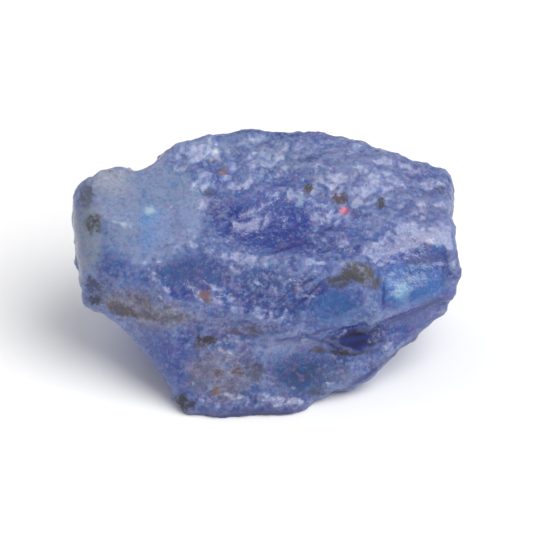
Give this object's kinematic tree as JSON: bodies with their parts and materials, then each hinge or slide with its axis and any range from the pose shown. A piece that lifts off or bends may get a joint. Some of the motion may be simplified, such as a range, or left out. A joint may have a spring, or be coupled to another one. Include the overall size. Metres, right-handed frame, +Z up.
{
  "type": "rough tanzanite",
  "caption": "Piece of rough tanzanite, a broken violet-blue crystal lump with a sloping ledged top, lying on a flat of its fracture.",
  "frame": {"origin": "on the surface that the stone lies on, under the middle of its box", "axes": "+X along the stone's length, towards its right end; +Z up; -Y is the front, with the steep face under the sloping top"},
  "size_m": [0.022, 0.0142, 0.011],
  "materials": {
    "tanzanite_crystal": "uncut crystal, glassy to greasy on its smooth breaks and sugary on its rough ones, partly see-through"
  },
  "bodies": {
    "root": {"tanzanite_stone": "tanzanite_crystal"}
  },
  "joints": []
}
